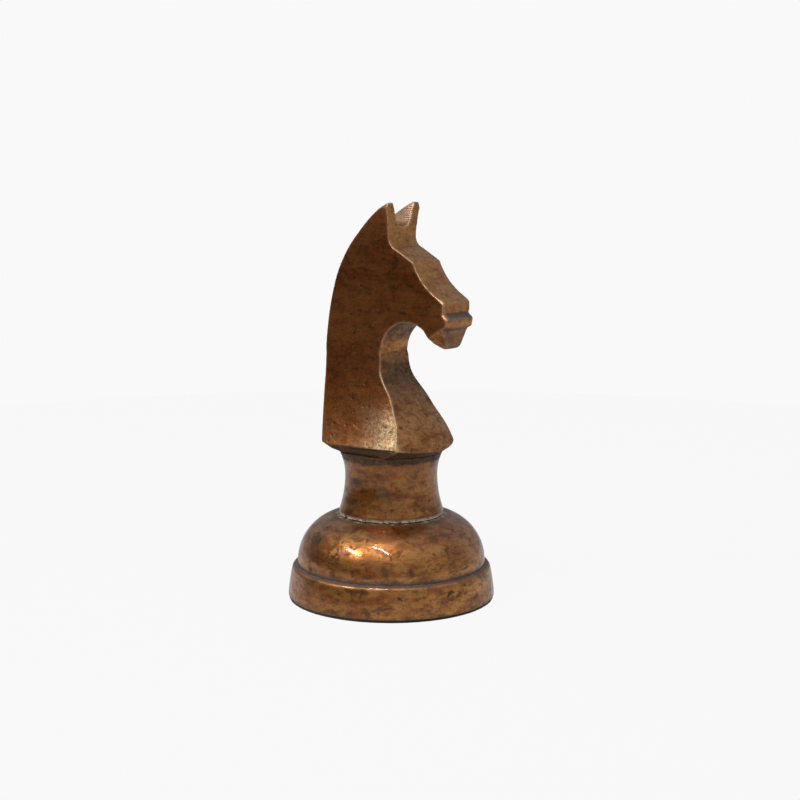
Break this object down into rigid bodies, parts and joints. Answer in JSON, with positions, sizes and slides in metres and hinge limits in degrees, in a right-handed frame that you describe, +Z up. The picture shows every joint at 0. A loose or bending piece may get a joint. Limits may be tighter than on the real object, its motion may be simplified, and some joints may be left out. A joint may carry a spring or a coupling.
{
  "type": "chess knight ornament",
  "caption": "Large metal chess knight: flat-sided horse bust on a waisted collar, dome and base ring, with a felt-faced underside.",
  "frame": {"origin": "centre of the underside of the felt, on the surface the piece stands on", "axes": "+Z up along the turned axis, +X the way the horse looks, Y across the flat sides"},
  "size_m": [0.158, 0.158, 0.3],
  "materials": {
    "bust_bronze": "pitted sand casting with an antique bronze finish, bright on worn edges",
    "turned_bronze": "polished antique bronze finish, mottled, semi-gloss",
    "zinc_steel": "zinc plated",
    "plate_steel": "plain sheet steel",
    "hardboard": "dark hardboard",
    "felt": "black wool felt"
  },
  "bodies": {
    "root": {"knight_bust": "bust_bronze", "collar": "turned_bronze", "dome": "turned_bronze", "base_ring": "turned_bronze", "tie_rod": "zinc_steel", "rod_lock_nut": "zinc_steel", "clamp_nut": "zinc_steel", "flat_washer": "zinc_steel", "spring_washer": "zinc_steel", "bust_dowel": "zinc_steel", "clamp_plate": "plate_steel", "base_board": "hardboard", "felt_pad": "felt"}
  },
  "joints": []
}
